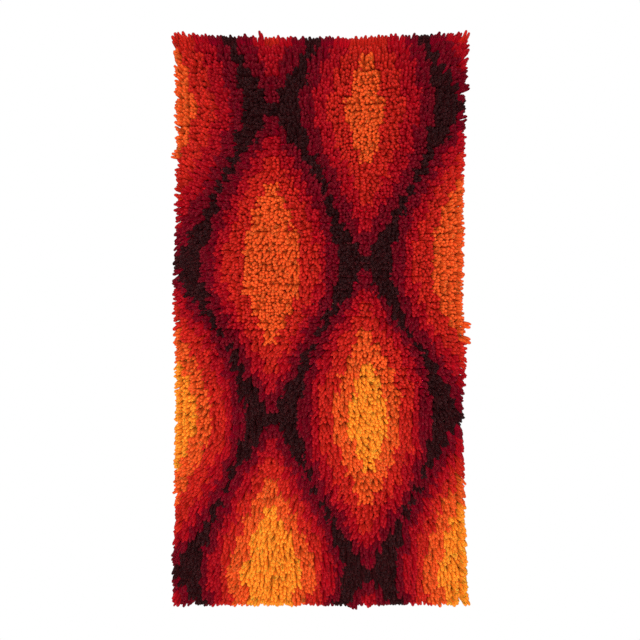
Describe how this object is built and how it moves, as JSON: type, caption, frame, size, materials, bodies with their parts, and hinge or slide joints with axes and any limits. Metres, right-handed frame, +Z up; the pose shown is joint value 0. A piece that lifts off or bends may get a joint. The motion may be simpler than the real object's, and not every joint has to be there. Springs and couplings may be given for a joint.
{
  "type": "hooked wool wall hanging",
  "caption": "Portrait wool wall hanging: a deep cut pile knotted into a cotton canvas, its border turned back, hung flat on a wall from its top edge.",
  "frame": {"origin": "middle of the top edge, on the back of the turned border, where the cloth meets the wall", "axes": "+X to the right as seen from the front, +Y towards the wall, +Z up"},
  "size_m": [0.3403, 0.0332, 0.6517],
  "materials": {
    "canvas": "matt cotton rug canvas, undyed",
    "wool_black": "cut rug wool, black brown, soft sheen",
    "wool_wine": "cut rug wool, wine red, soft sheen",
    "wool_crimson": "cut rug wool, crimson, soft sheen",
    "wool_scarlet": "cut rug wool, scarlet, soft sheen",
    "wool_orange": "cut rug wool, orange, soft sheen",
    "wool_gold": "cut rug wool, golden orange, soft sheen"
  },
  "bodies": {
    "root": {"canvas": "canvas", "pile": "wool_scarlet"}
  },
  "joints": []
}
